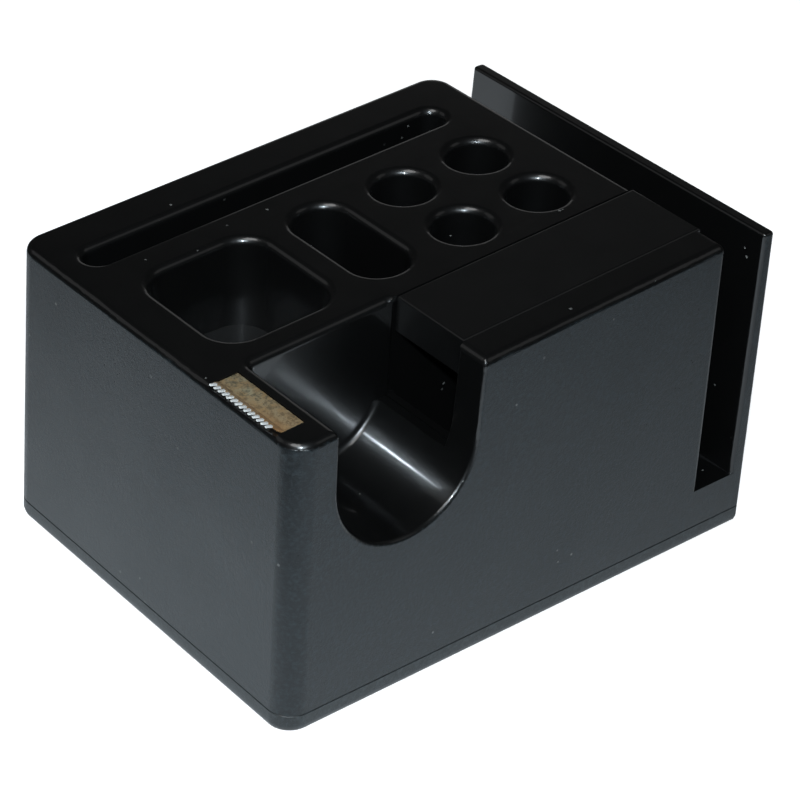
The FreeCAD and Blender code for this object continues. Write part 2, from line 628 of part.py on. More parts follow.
def base_plate():
    """Shallow tray with a rim, a locating lip, drawer runners and countersunk screw holes."""
    outlines = []
    for z, inset in ((BASE_BOTTOM, BASE_BEVEL), (BASE_BOTTOM + BASE_BEVEL_HEIGHT, 0),
                     (BASE_TOP - BASE_SEAM, 0), (BASE_TOP, BASE_SEAM)):
        outlines.append(rounded_outline(face_left(z) + inset, face_right(z) - inset, face_front(z) + inset,
                                        BACK - inset, z, set_in(FOOT_RADII, inset)))
    outer = Part.makeLoft(outlines, True, True)
    inset = WALL + LOCATING_CLEARANCE
    lip = leaning_block(inset, FRONT + inset, BACK - inset, BASE_FLOOR_TOP,
                        BASE_TOP + LOCATING_LIP_HEIGHT, set_in(FOOT_RADII, inset))
    room_inset = inset + LOCATING_LIP_THICKNESS
    room = leaning_block(room_inset, FRONT + room_inset, BACK - room_inset, BASE_FLOOR_TOP,
                         ABOVE, set_in(FOOT_RADII, room_inset))
    plate = join([outer, lip]).cut(room)
    drawer_way = box(LEFT - PAST, LEFT + room_inset + BITE, DRAWER_Y0 - DRAWER_CLEARANCE,
                     DRAWER_Y1 + DRAWER_CLEARANCE, BASE_TOP, ABOVE)
    plate = plate.cut(drawer_way)
    runners = []
    for y in (DRAWER_Y0 + RUNNER_INSET, DRAWER_Y1 - RUNNER_INSET):
        runners.append(box(LEFT + room_inset - BITE, DRAWER_END, y - RUNNER_WIDTH / 2, y + RUNNER_WIDTH / 2,
                           BASE_FLOOR_TOP - BITE, DRAWER_Z0 - RUNNER_CLEARANCE))
    plate = join([plate] + runners)
    cuts = []
    for x, y in post_places() + ballast_screw_places() + guide_screw_places():
        cuts.append(cylinder(SCREW_RADIUS + SCREW_HOLE_CLEARANCE, (x, y, 0), (0, 0, 1), BASE_TOP))
        cuts.append(cylinder(SCREW_HEAD_RADIUS + SCREW_HOLE_CLEARANCE, (x, y, 0), (0, 0, 1), HEAD_PLANE))
    for x, y in foot_places().values():
        cuts.append(cylinder(FOOT_RADIUS, (x, y, 0), (0, 0, 1), FOOT_THICKNESS))
    return plate.cut(cuts)


def ballast_weight():
    """Cast block under the scoop with two threaded holes."""
    x0, y0, y1 = ballast_box()
    top = BASE_FLOOR_TOP + BALLAST_HEIGHT
    block = box(x0, x0 + BALLAST_WIDTH, y0, y1, BASE_FLOOR_TOP, top)
    block = block.makeChamfer(BALLAST_CHAMFER, [edge for edge in block.Edges if rises(edge)])
    block = block.makeChamfer(BALLAST_TOP_CHAMFER, [edge for edge in block.Edges
                                                    if edge.BoundBox.ZMin > top - BITE])
    holes = [cylinder(SCREW_RADIUS, (x, y, BASE_BOTTOM), (0, 0, 1), SCREW_LENGTH + BASE_FLOOR)
             for x, y in ballast_screw_places()]
    return block.cut(holes)


# ---- drawer ---------------------------------------------------------------------------------

def drawer():
    """Tray with a front that follows the leaning left face, a finger notch and a rear stop."""
    z0 = DRAWER_Z0
    z1 = DRAWER_Z1
    outer_face = leaning_block(0, FRONT, BACK, BASE_BOTTOM, ABOVE, FOOT_RADII)
    body = box(LEFT - PAST, DRAWER_END, DRAWER_Y0, DRAWER_Y1, z0, z1).common(outer_face)
    inner = pocket_block(LEFT + DRAWER_FRONT_PLATE, DRAWER_END - DRAWER_WALL, DRAWER_Y0 + DRAWER_WALL,
                         DRAWER_Y1 - DRAWER_WALL, z0 + DRAWER_WALL, z1 + PAST, DRAWER_INNER_RADIUS)
    drop = GRIP_RADIUS - math.sqrt(GRIP_RADIUS ** 2 - (GRIP_WIDTH / 2) ** 2)
    notch = cylinder(GRIP_RADIUS, (LEFT - PAST, DRAWER_MIDDLE, z1 + GRIP_RADIUS - drop), (1, 0, 0),
                     DRAWER_FRONT_PLATE + 2 * PAST)
    stop = box(DRAWER_END - DRAWER_WALL, DRAWER_END, DRAWER_MIDDLE - STOP_WIDTH / 2,
               DRAWER_MIDDLE + STOP_WIDTH / 2, z1 - BITE, z1 + DRAWER_STOP)
    return join([body.cut([inner, notch]), stop])


def guide_screw_places():
    """Centres of the two screws in each guide."""
    places = []
    length = DRAWER_END - GUIDE_START
    for share in GUIDE_SCREW_SHARES:
        x = GUIDE_START + share * length
        places.append((x, DRAWER_Y0 - DRAWER_CLEARANCE - GUIDE_WALL - GUIDE_FOOT / 2))
        places.append((x, DRAWER_Y1 + DRAWER_CLEARANCE + GUIDE_WALL + GUIDE_FOOT / 2))
    return places


def drawer_guide(side):
    """Folded rail beside the drawer: foot on the base, web, and a flange over the drawer's edge."""
    x0 = GUIDE_START
    x1 = DRAWER_END
    inner = DRAWER_Y0 - DRAWER_CLEARANCE if side < 0 else DRAWER_Y1 + DRAWER_CLEARANCE
    outer = inner + side * GUIDE_WALL
    foot_end = outer + side * GUIDE_FOOT
    flange_end = inner - side * GUIDE_FLANGE
    flange_z = DRAWER_Z1 + DRAWER_CLEARANCE
    foot_y = sorted((inner, foot_end))
    web_y = sorted((inner, outer))
    flange_y = sorted((outer, flange_end))
    parts = [
        box(x0, x1, foot_y[0], foot_y[1], BASE_FLOOR_TOP, BASE_FLOOR_TOP + GUIDE_FOOT_THICKNESS),
        box(x0, x1, web_y[0], web_y[1], BASE_FLOOR_TOP, flange_z + GUIDE_WALL),
        box(x0, x1, flange_y[0], flange_y[1], flange_z, flange_z + GUIDE_WALL),
    ]
    holes = [cylinder(SCREW_RADIUS, (x, y, BASE_BOTTOM), (0, 0, 1), SCREW_HEAD_HEIGHT + GUIDE_SCREW_LENGTH)
             for x, y in guide_screw_places()]
    return join(parts).cut(holes)


# ---- tape dispenser -------------------------------------------------------------------------

def cutter_blade():
    """Serrated strip: tang, flat, raised front and teeth, bent from one sheet."""
    left, right, rear = blade_place()
    roots = FRONT + CUTTER_LEDGE
    tips = roots - TOOTH_LENGTH
    bend = roots + BLADE_STRIP
    seat = -BLADE_SEAT_DEPTH
    rise = BLADE_RISE * (bend - tips) / (bend - roots)
    thick = BLADE_THICKNESS
    outline = [
        (tips, top_at(tips) + seat + rise),
        (bend, top_at(bend) + seat),
        (rear - thick, top_at(rear) + seat),
        (rear - thick, top_at(rear) + seat - BLADE_TANG),
        (rear, top_at(rear) + seat - BLADE_TANG),
        (rear, top_at(rear) + seat + thick),
        (bend, top_at(bend) + seat + thick),
        (tips, top_at(tips) + seat + rise + thick),
    ]
    strip = side_prism(outline, left, right)
    tang_inset = BLADE_TANG_INSET + BLADE_CLEARANCE
    tang_sides = [box(left - PAST, left + tang_inset, rear - 2 * thick, rear + PAST, 0, top_at(rear) + seat),
                  box(right - tang_inset, right + PAST, rear - 2 * thick, rear + PAST, 0, top_at(rear) + seat)]
    pitch = TOOTH_BAND / TOOTH_COUNT
    gaps = []
    for index in range(TOOTH_COUNT + 1):
        middle = left + pitch * index
        corners = [
            FreeCAD.Vector(middle, roots, 0),
            FreeCAD.Vector(middle - pitch / 2, tips, 0),
            FreeCAD.Vector(middle - pitch / 2, tips - PAST, 0),
            FreeCAD.Vector(middle + pitch / 2, tips - PAST, 0),
            FreeCAD.Vector(middle + pitch / 2, tips, 0),
        ]
        face = Part.Face(Part.makePolygon(corners + corners[:1]))
        gaps.append(face.extrude(FreeCAD.Vector(0, 0, ABOVE)))
    plain = box(left + TOOTH_BAND, right + PAST, tips - PAST, roots - PLAIN_END_SETBACK, 0, ABOVE)
    return strip.cut(gaps + tang_sides + [plain])


def lid_pin(side, grow):
    """Hinge pin on one side of the lid, half in the lid's eye and half in the well's wall."""
    edge = WELL_LEFT if side < 0 else WELL_RIGHT
    x0, x1 = sorted((edge - side * HINGE_PIN_IN_LID, edge + side * HINGE_PIN_IN_WALL))
    return cylinder(HINGE_PIN_RADIUS + grow, (x0 - grow, HINGE_Y, HINGE_Z), (1, 0, 0), x1 - x0 + 2 * grow)


def tape_lid():
    """Flush cover with a lip at the front and an eye for the pin at each rear corner."""
    x0 = WELL_LEFT + LID_GAP
    x1 = WELL_RIGHT - LID_GAP
    y1 = BOX_BACK
    plate = [
        (LID_FRONT, top_at(LID_FRONT)),
        (y1, top_at(y1)),
        (y1, top_at(y1) - LID_THICKNESS),
        (LID_FRONT, top_at(LID_FRONT) - LID_THICKNESS),
    ]
    cover = side_prism(plate, x0, x1)
    lip = box(x0, x1, LID_FRONT, LID_FRONT + LID_LIP_THICKNESS, top_at(LID_FRONT) - LID_LIP_DROP,
              top_at(LID_FRONT) - BITE)
    cover = join([cover, lip])
    cover = fillet_edges(cover, LID_EDGE_FILLET, on_top)
    eyes = []
    for start in (x0, x1 - HINGE_EYE_WIDTH):
        eye = cylinder(HINGE_EYE_RADIUS, (start, HINGE_Y, HINGE_Z), (1, 0, 0), HINGE_EYE_WIDTH)
        neck = box(start, start + HINGE_EYE_WIDTH, HINGE_Y - HINGE_EYE_RADIUS, HINGE_Y + HINGE_EYE_RADIUS,
                   HINGE_Z, top_at(HINGE_Y) - LID_THICKNESS + LID_EYE_FUSE)
        eyes += [eye, neck]
    cover = join([cover] + eyes)
    return cover.cut([lid_pin(-1, 0), lid_pin(1, 0)])


def hub_half(side):
    """Half of the tape core: flange, rim, web, ribs and boss, open towards its partner."""
    x_outer = WELL_MIDDLE + side * HUB_WIDTH / 2
    x_flange = x_outer - side * HUB_FLANGE
    x_web = x_outer - side * HUB_WEB

    def ring(outer, inner, xa, xb):
        low, high = sorted((xa, xb))
        tube = cylinder(outer, (low, HUB_AXIS_Y, HUB_AXIS_HEIGHT), (1, 0, 0), high - low)
        return tube.cut(cylinder(inner, (low - PAST, HUB_AXIS_Y, HUB_AXIS_HEIGHT), (1, 0, 0),
                                 high - low + 2 * PAST))

    pieces = [
        ring(HUB_FLANGE_RADIUS, HUB_BORE, x_outer, x_flange),
        ring(HUB_RADIUS, HUB_RADIUS - HUB_WALL, x_outer, WELL_MIDDLE),
        ring(HUB_RADIUS, HUB_BORE, x_outer, x_web),
        ring(HUB_BOSS, HUB_BORE, x_outer, WELL_MIDDLE),
    ]
    low, high = sorted((x_web, WELL_MIDDLE + side * HUB_RIB_SETBACK))
    for index in range(HUB_RIBS):
        rib = box(low, high, HUB_AXIS_Y - HUB_RIB / 2, HUB_AXIS_Y + HUB_RIB / 2,
                  HUB_AXIS_HEIGHT + HUB_BOSS - HUB_RIB_BITE,
                  HUB_AXIS_HEIGHT + HUB_RADIUS - HUB_WALL + HUB_RIB_BITE)
        rib.rotate(FreeCAD.Vector(0, HUB_AXIS_Y, HUB_AXIS_HEIGHT), FreeCAD.Vector(1, 0, 0),
                   360 / HUB_RIBS * index)
        pieces.append(rib)
    return join(pieces)


def tape_axle():
    """Stepped shaft through the core with two thinner ends."""
    start = WELL_LEFT - AXLE_REACH
    ends = cylinder(AXLE_END_RADIUS, (start, HUB_AXIS_Y, HUB_AXIS_HEIGHT), (1, 0, 0),
                    WELL_WIDTH + 2 * AXLE_REACH)
    shaft = cylinder(AXLE_RADIUS, (WELL_MIDDLE - HUB_WIDTH / 2 - AXLE_SHOULDER, HUB_AXIS_Y, HUB_AXIS_HEIGHT),
                     (1, 0, 0), HUB_WIDTH + 2 * AXLE_SHOULDER)
    return join([ends, shaft])


# ---- write every sub-part -------------------------------------------------------------------

def main():
    """Build and write each named sub-part."""
    os.makedirs("parts", exist_ok=True)
    save("housing", housing())
    save("base_plate", base_plate())
    save("case_screws", screws(post_places(), SCREW_LENGTH))
    for name, place in foot_places().items():
        save(name, foot(*place))
    save("ballast_weight", ballast_weight())
    save("ballast_screws", screws(ballast_screw_places(), SCREW_LENGTH))
    save("drawer", drawer())
    save("drawer_guide_front", drawer_guide(-1))
    save("drawer_guide_rear", drawer_guide(1))
    save("guide_screws", screws(guide_screw_places(), GUIDE_SCREW_LENGTH))
    save("cutter_blade", cutter_blade())
    save("tape_lid", tape_lid())
    save("lid_pin_left", lid_pin(-1, 0))
    save("lid_pin_right", lid_pin(1, 0))
    save("tape_hub_left", hub_half(-1))
    save("tape_hub_right", hub_half(1))
    save("tape_axle", tape_axle())


main()
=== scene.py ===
import bmesh
import bpy
import math
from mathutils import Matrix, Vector


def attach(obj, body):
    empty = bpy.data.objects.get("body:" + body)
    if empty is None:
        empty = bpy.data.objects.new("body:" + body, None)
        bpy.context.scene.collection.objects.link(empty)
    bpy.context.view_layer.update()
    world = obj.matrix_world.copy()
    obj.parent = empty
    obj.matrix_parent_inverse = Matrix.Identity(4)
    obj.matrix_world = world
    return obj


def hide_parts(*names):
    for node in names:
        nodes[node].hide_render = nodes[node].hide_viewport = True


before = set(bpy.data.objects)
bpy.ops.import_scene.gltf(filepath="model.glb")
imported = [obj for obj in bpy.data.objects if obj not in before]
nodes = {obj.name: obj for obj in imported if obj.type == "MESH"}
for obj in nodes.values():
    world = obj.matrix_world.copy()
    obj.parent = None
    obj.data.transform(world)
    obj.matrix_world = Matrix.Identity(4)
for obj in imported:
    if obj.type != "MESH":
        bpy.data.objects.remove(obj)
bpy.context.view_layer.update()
scene = bpy.context.scene
MM = 0.001


# ---- camera ---------------------------------------------------------------------------------
# Seen from above the front right corner with a long lens, slightly rolled. A small shift puts
# the lens's axis off the middle of the picture.

camera_data = bpy.data.cameras.new("camera")
camera_data.lens = 122.2272
camera_data.sensor_width = 36
camera_data.shift_x = -0.0233849
camera_data.shift_y = 0.0036393
camera_data.clip_start = 0.01
camera = bpy.data.objects.new("camera", camera_data)
camera.location = (0.405855, -0.360761, 0.392477)
camera.rotation_euler = (0.985663, -0.062339, 0.871240)
scene.collection.objects.link(camera)
scene.camera = camera
scene.view_settings.view_transform = "Standard"


# ---- housing --------------------------------------------------------------------------------
# The one large moulding: box, pockets, scoop, tape well, foot and back panel. Injection-moulded
# black plastic; the mould's outside was eroded to a fine grain, its top and pockets polished.

def plug(tree, part, socket):
    """Link a value to a socket, or give the socket a constant."""
    if isinstance(part, Value):
        tree.links.new(part.socket, socket)
    else:
        socket.default_value = part


class Value:
    """A shader socket that takes part in Python arithmetic."""

    def __init__(self, tree, socket):
        self.tree = tree
        self.socket = socket

    def math(self, operation, *parts):
        """Math node on values and constants, in their order."""
        made = self.tree.nodes.new("ShaderNodeMath")
        made.operation = operation
        for index, part in enumerate(parts):
            plug(self.tree, part, made.inputs[index])
        return Value(self.tree, made.outputs[0])

    def __add__(self, other):
        return self.math("ADD", self, other)

    __radd__ = __add__

    def __sub__(self, other):
        return self.math("SUBTRACT", self, other)

    def __rsub__(self, other):
        return self.math("SUBTRACT", other, self)

    def __mul__(self, other):
        return self.math("MULTIPLY", self, other)

    __rmul__ = __mul__

    def __pow__(self, other):
        return self.math("POWER", self, other)

    def step(self, low, high):
        """0 below low, 1 above high and smooth between."""
        made = self.tree.nodes.new("ShaderNodeMapRange")
        made.interpolation_type = "SMOOTHSTEP"
        self.tree.links.new(self.socket, made.inputs["Value"])
        made.inputs["From Min"].default_value = low
        made.inputs["From Max"].default_value = high
        return Value(self.tree, made.outputs[0])


class Finish:
    """One material, with a Principled shader at its end."""

    def __init__(self, name, **constants):
        self.material = bpy.data.materials.new(name)
        self.material.use_nodes = True
        self.tree = self.material.node_tree
        self.tree.nodes.clear()
        self.shader = self.tree.nodes.new("ShaderNodeBsdfPrincipled")
        self.output = self.tree.nodes.new("ShaderNodeOutputMaterial")
        self.tree.links.new(self.shader.outputs[0], self.output.inputs[0])
        for socket, value in constants.items():
            self.shader.inputs[socket.replace("_", " ")].default_value = value
        self.place = self.node("ShaderNodeTexCoord", output="Object")

    def node(self, kind, settings=None, output=0, **inputs):
        """Any node: its settings first, then the values or links of its sockets."""
        made = self.tree.nodes.new(kind)
        for key, value in (settings or {}).items():
            setattr(made, key, value)
        for socket, value in inputs.items():
            plug(self.tree, value, made.inputs[socket.replace("_", " ")])
        return Value(self.tree, made.outputs[output])

    def mix(self, share, first, second):
        """Colour between two colours."""
        made = self.tree.nodes.new("ShaderNodeMix")
        made.data_type = "RGBA"
        for index, part in ((0, share), (6, first), (7, second)):
            plug(self.tree, part, made.inputs[index])
        return Value(self.tree, made.outputs[2])

    def noise(self, scale, detail, roughness):
        """Noise in the piece's own coordinates; scale is in ripples per metre."""
        return self.node("ShaderNodeTexNoise", Vector=self.place, Scale=scale, Detail=detail,
                         Roughness=roughness)

    def attribute(self, name):
        """Number that the mesh carries under a name."""
        return self.node("ShaderNodeAttribute", {"attribute_name": name}, output="Fac")

    def feed(self, socket, value):
        """Link a value that changes over the surface to the shader."""
        self.tree.links.new(value.socket, self.shader.inputs[socket])

    def bump(self, height, distance):
        """Raise the surface by height times distance, in metres."""
        self.feed("Normal", self.node("ShaderNodeBump", Height=height, Distance=distance, Strength=1.0))


MERGE_DISTANCE = 1e-6
SMOOTH_ANGLE = math.radians(32)
NORMAL_WEIGHT = 90


def merged(mesh):
    """Editable copy of a mesh, with its doubled points joined."""
    edited = bmesh.new()
    edited.from_mesh(mesh)
    bmesh.ops.remove_doubles(edited, verts=edited.verts, dist=MERGE_DISTANCE)
    return edited


def as_mesh(name, edited):
    """Mesh of what was edited. The edit itself is freed."""
    mesh = bpy.data.meshes.new(name)
    edited.to_mesh(mesh)
    edited.free()
    return mesh


def as_object(name, mesh):
    """Object of a mesh, in the scene."""
    made = bpy.data.objects.new(name, mesh)
    scene.collection.objects.link(made)
    return made


def cut_by(name, mesh, cutters):
    """Mesh without what the cutters cover. The cutters are used up."""
    uncut = as_object(name + "_uncut", mesh)
    for cutter in cutters:
        cut = uncut.modifiers.new("cut", "BOOLEAN")
        cut.operation = "DIFFERENCE"
        cut.solver = "EXACT"
        cut.object = cutter
    settled(uncut)
    mesh = uncut.data
    bpy.data.objects.remove(uncut)
    for cutter in cutters:
        bpy.data.objects.remove(cutter)
    return mesh


def shade_smooth(edited, angle):
    """Shade all faces smooth, except across edges sharper than the angle and open ones."""
    for face in edited.faces:
        face.smooth = True
    for edge in edited.edges:
        edge.smooth = not edge.is_manifold or edge.calc_face_angle() < angle


def copied(name, node, *cutters):
    """Copy of a CAD node, cut by the cutters and merged, with its round faces shaded smooth."""
    edited = merged(nodes[node].data)
    if cutters:
        edited = merged(cut_by(name, as_mesh(name, edited), cutters))
    shade_smooth(edited, SMOOTH_ANGLE)
    piece = as_object(name, as_mesh(name, edited))
    modifier = piece.modifiers.new("even_normals", "WEIGHTED_NORMAL")
    modifier.keep_sharp = True
    modifier.weight = NORMAL_WEIGHT
    return piece


def settled(piece):
    """Turn the live modifiers of a piece into its mesh."""
    evaluated = piece.evaluated_get(bpy.context.evaluated_depsgraph_get())
    mesh = bpy.data.meshes.new_from_object(evaluated)
    piece.modifiers.clear()
    old = piece.data
    piece.data = mesh
    bpy.data.meshes.remove(old)
    mesh.name = piece.name


FOOT_LEVEL = 1.0
HALF_WIDTH = 53.7
HALF_DEPTH = 71.2
SIDE_LEAN = 0.0235
FRONT_LEAN = 0.0165
ROUND_CORNER = 6.0


def upright_cutter(name, sections):
    """Cutter that joins outlines of (x, y) lying at rising heights, in millimetres."""
    edited = bmesh.new()
    rings = [[edited.verts.new((x * MM, y * MM, z * MM)) for x, y in outline] for z, outline in sections]
    edited.faces.new(rings[0])
    edited.faces.new(rings[-1])
    for lower, upper in zip(rings, rings[1:]):
        for step in range(len(lower)):
            nxt = (step + 1) % len(lower)
            edited.faces.new((lower[step], lower[nxt], upper[nxt], upper[step]))
    bmesh.ops.recalc_face_normals(edited, faces=edited.faces)
    return as_object(name, as_mesh(name, edited))


MOUTH_LEFT = 20.2
MOUTH_RIGHT = 43.2
MOUTH_SILL = 53.2
MOUTH_TOP = 77.9
MOUTH_ROUNDING = 0.9
WELL_WALL = 3.2
MOUTH_OVERCUT = 0.4
SILL_STEP = 0.1
RELIEF_GAP = 0.2
RELIEF_OVERCUT = 0.5
RELIEF_REACH = 26.0
RELIEF_BOTTOM = 25.0
RELIEF_SETBACK = 2.5
RING_STAGGER = 0.01
SCOOP_AXIS = (-38.7, 61.0)
SCOOP_RADIUS = 19.5
SCOOP_LEAN = 0.045
SCOOP_CURVE_LEVELS = (56, 59)


def scoop_rear(height):
    """Y of the scoop's rear wall."""
    below = max(SCOOP_AXIS[1] - height, 0)
    above = max(height - SCOOP_AXIS[1], 0)
    return SCOOP_AXIS[0] + math.sqrt(SCOOP_RADIUS ** 2 - below ** 2) + SCOOP_LEAN * above


def mouth_rounding():
    """Cutters for the rounded upright edges on both sides of the way out of the tape well."""
    arc = [math.radians(angle) for angle in range(0, 91, 15)]
    sill = MOUTH_SILL + SILL_STEP
    inner = MOUTH_LEFT - MOUTH_ROUNDING
    outer = MOUTH_LEFT + RELIEF_OVERCUT
    start = scoop_rear(MOUTH_TOP) + RELIEF_GAP
    far = start + RELIEF_REACH
    left = [(outer, start)]
    left += [(inner + MOUTH_ROUNDING * math.cos(turn), start + MOUTH_ROUNDING * math.sin(turn))
             for turn in arc]
    left += [(inner, far), (outer, far)]
    below = [(x, max(y, start + RELIEF_SETBACK)) for x, y in left]
    below = [(x, y + RING_STAGGER * step) if y < far else (x, y) for step, (x, y) in enumerate(below)]
    levels = [(RELIEF_BOTTOM, below), (MOUTH_SILL, below), (sill, left), (MOUTH_TOP, left)]
    right = []
    for height in (sill, *SCOOP_CURVE_LEVELS, SCOOP_AXIS[1], MOUTH_TOP):
        face = scoop_rear(height)
        x, y = MOUTH_RIGHT + MOUTH_ROUNDING, face + MOUTH_ROUNDING
        outline = [(x - MOUTH_ROUNDING * math.cos(turn), y - MOUTH_ROUNDING * math.sin(turn))
                   for turn in arc]
        outline += [(x, face - MOUTH_OVERCUT), (MOUTH_RIGHT - MOUTH_OVERCUT, face - MOUTH_OVERCUT),
                    (MOUTH_RIGHT - MOUTH_OVERCUT, y)]
        right.append((height, outline))
    return (upright_cutter("round_left", levels),
            upright_cutter("round_right", right))


FRONT_TOP = 75.7
TOP_RISE = 9.6
HOLLOW_DEPTH = 4.0
ON_FACE = 0.05
ON_CORNER = 0.08
LEVEL_ENOUGH = 0.9


def top_height(y):
    """Height of the sloping top, in millimetres."""
    return FRONT_TOP + TOP_RISE / (2 * HALF_DEPTH) * (y + HALF_DEPTH)


def mark_skin(piece):
    """Give 1 to the points on the outer faces and 0 to those of the top and the hollows."""
    mesh = piece.data
    skin = mesh.attributes.new("skin", "FLOAT", "POINT")
    for index, vertex in enumerate(mesh.vertices):
        x, y, z = (part / MM for part in vertex.co)
        lift = z - FOOT_LEVEL
        gap_side = HALF_WIDTH - SIDE_LEAN * lift - abs(x)
        gap_front = y + HALF_DEPTH - FRONT_LEAN * lift
        flat = gap_side < ON_FACE or gap_front < ON_FACE or y > HALF_DEPTH - ON_FACE
        into_corner = math.hypot(max(ROUND_CORNER - gap_side, 0), max(ROUND_CORNER - gap_front, 0))
        in_corner = max(gap_side, gap_front) < ROUND_CORNER and abs(into_corner - ROUND_CORNER) < ON_CORNER
        skin.data[index].value = 1.0 if flat or in_corner else 0.0


def mark_floors(piece):
    """Give 1 to the floors of the hollows left of the tape well, duller than their walls."""
    mesh = piece.data
    dull = mesh.attributes.new("dull", "FLOAT", "FACE")
    for face in mesh.polygons:
        x, y, z = (part / MM for part in face.center)
        floor_face = z < top_height(y) - HOLLOW_DEPTH and face.normal.z > LEVEL_ENOUGH
        dull.data[face.index].value = 1.0 if floor_face and x <= MOUTH_LEFT - WELL_WALL else 0.0


POLISH = 0.07
CLOUD_SCALE = 34
WIPE_SCALE = 150
GRAIN_SCALE = 1000
SAND_SCALE = 4200
DUST_SCALE = 170.0
DUST_COLOUR = (0.2, 0.2, 0.19, 1)
GRAIN_CONTRAST = 3.2
FLOOR_DULLNESS = 0.92
GRAIN_HEIGHT = 0.00008


def scaled(colour, factor):
    """Colour times a factor, still opaque."""
    return tuple(part * factor for part in colour[:3]) + (1.0,)


def moulded_plastic(name, skin_colour, smooth_colour, skin_roughness, smooth_roughness):
    """Black moulding: grainy where the attribute skin is 1, polished where it is 0."""
    finish = Finish(name, IOR=1.5, Coat_Roughness=POLISH, Coat_IOR=1.45)
    skin = finish.attribute("skin")
    dull = finish.attribute("dull")
    cloud = finish.noise(CLOUD_SCALE, 3, 0.6)
    grain = finish.noise(GRAIN_SCALE, 3, 0.7)
    sand = finish.noise(SAND_SCALE, 2, 0.6)
    wipe = finish.noise(WIPE_SCALE, 4, 0.6)
    speck = finish.node("ShaderNodeTexVoronoi", {"feature": "F1"}, Vector=finish.place, Scale=DUST_SCALE)
    dust = speck.step(0.07, 0.05) * finish.noise(47, 2, 0.5).step(0.53, 0.6)
    lighter = scaled(skin_colour, GRAIN_CONTRAST)
    colour = finish.mix(skin, smooth_colour, finish.mix(grain.step(0.42, 0.72), skin_colour, lighter))
    finish.feed("Base Color", finish.mix(dust * 0.7, colour, DUST_COLOUR))
    sheen = skin_roughness + (cloud - 0.5) * 0.16 + (grain - 0.5) * 0.3
    gloss = smooth_roughness + (wipe - 0.5) * 0.12
    finish.feed("Roughness", skin * sheen + (1 - skin) * gloss + dust * 0.3 + dull * 0.3)
    coat = 0.85 + (wipe - 0.5) * 0.3
    finish.feed("Coat Weight", (1 - skin) * coat * (1 - dust) * (1 - dull * FLOOR_DULLNESS))
    finish.bump(grain * skin * 0.9 + sand * skin + wipe * 0.3 + dust * 0.5, GRAIN_HEIGHT)
    return finish.material


def dressed(name, node, body, material, skin=False, cutters=()):
    """A smoothly shaded copy of a CAD node that stands for it, in its own finish."""
    piece = copied(name, node, *cutters)
    settled(piece)
    if skin:
        mark_skin(piece)
    mark_floors(piece)
    piece.data.materials.clear()
    piece.data.materials.append(material)
    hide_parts(node)
    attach(piece, body)


SKIN_BLACK = (0.0045, 0.0066, 0.0078, 1)
POLISHED_BLACK = (0.0026, 0.0026, 0.0026, 1)
case_plastic = moulded_plastic("case_plastic", SKIN_BLACK, POLISHED_BLACK, 0.36, 0.31)
dressed("case_moulding", "housing", "case", case_plastic, skin=True,
        cutters=mouth_rounding())


# ---- base -----------------------------------------------------------------------------------
# Shallow tray of the same plastic that closes the housing from below, with a locating lip inside
# and sunk holes for the screws. A fine seam runs round above its rim.

# Both colours are painted lighter and greener than the housing's, though it is the same plastic: painted
# light that stands in for the brighter floor reflection on this low band.
base_plastic = moulded_plastic("base_plastic", (0.011, 0.0135, 0.0145, 1), (0.006, 0.0062, 0.0062, 1),
                               0.42, 0.5)
dressed("base_tray", "base_plate", "case", base_plastic, skin=True)


# ---- feet -----------------------------------------------------------------------------------
# Four round pads cut from black rubber sheet and glued into the base, one near each corner.
# They hold it off the desk and keep it from sliding.

def rubber():
    """Dull black rubber with a fine pitted surface."""
    finish = Finish("foot_rubber", IOR=1.5)
    pits = finish.noise(2600, 3, 0.65)
    dirt = finish.noise(300, 4, 0.6)
    colour = finish.mix(dirt.step(0.4, 0.75), (0.012, 0.012, 0.012, 1), (0.035, 0.034, 0.032, 1))
    finish.feed("Base Color", colour)
    finish.feed("Roughness", 0.72 + (pits - 0.5) * 0.2)
    finish.bump(pits, 0.00008)
    return finish.material


foot_rubber = rubber()
for corner in ("front_left", "front_right", "rear_left", "rear_right"):
    dressed("pad_" + corner, "foot_" + corner, "case", foot_rubber)


# ---- screws ---------------------------------------------------------------------------------
# Self-tapping steel screws with domed heads and cross recesses: four hold the base to the
# housing, two the ballast and four the drawer's guides. All are driven from below.

def steel(name, colour, roughness, scratch_scale, direction=(1, 1, 1)):
    """Plated steel with fine scratches along the axis whose share is smallest."""
    finish = Finish(name, Metallic=1.0)
    stretched = finish.node("ShaderNodeMapping", Vector=finish.place, Scale=direction)
    scratch = finish.node("ShaderNodeTexNoise", Vector=stretched, Scale=scratch_scale, Detail=3.0)
    bloom = finish.noise(400, 3, 0.6)
    finish.feed("Base Color", finish.mix(bloom.step(0.35, 0.7), scaled(colour, 0.55), colour))
    finish.feed("Roughness", roughness + (scratch - 0.5) * 0.22 + (bloom - 0.5) * 0.12)
    finish.bump(scratch, 0.00001)
    return finish.material


HEAD_RADIUS = 2.8
HEAD_HEIGHT = 1.5
SHANK_RADIUS = 1.45
SCREW_SIDES = 24
CROSS_ARM = 0.52 * HEAD_RADIUS
CROSS_HALF = 0.13 * HEAD_RADIUS
CROSS_KNEE = 2.4 * CROSS_HALF
RECESS_TAPER = 0.45
RECESS_FLOOR = 0.62 * HEAD_HEIGHT
RECESS_MOUTH = 0.03 * HEAD_HEIGHT
THREAD_PITCH = 1.1
THREAD_ROOT = 0.78 * SHANK_RADIUS
THREAD_START = 0.4
THREAD_STOP = 1.2
SCREW_SMOOTH_ANGLE = math.radians(36)


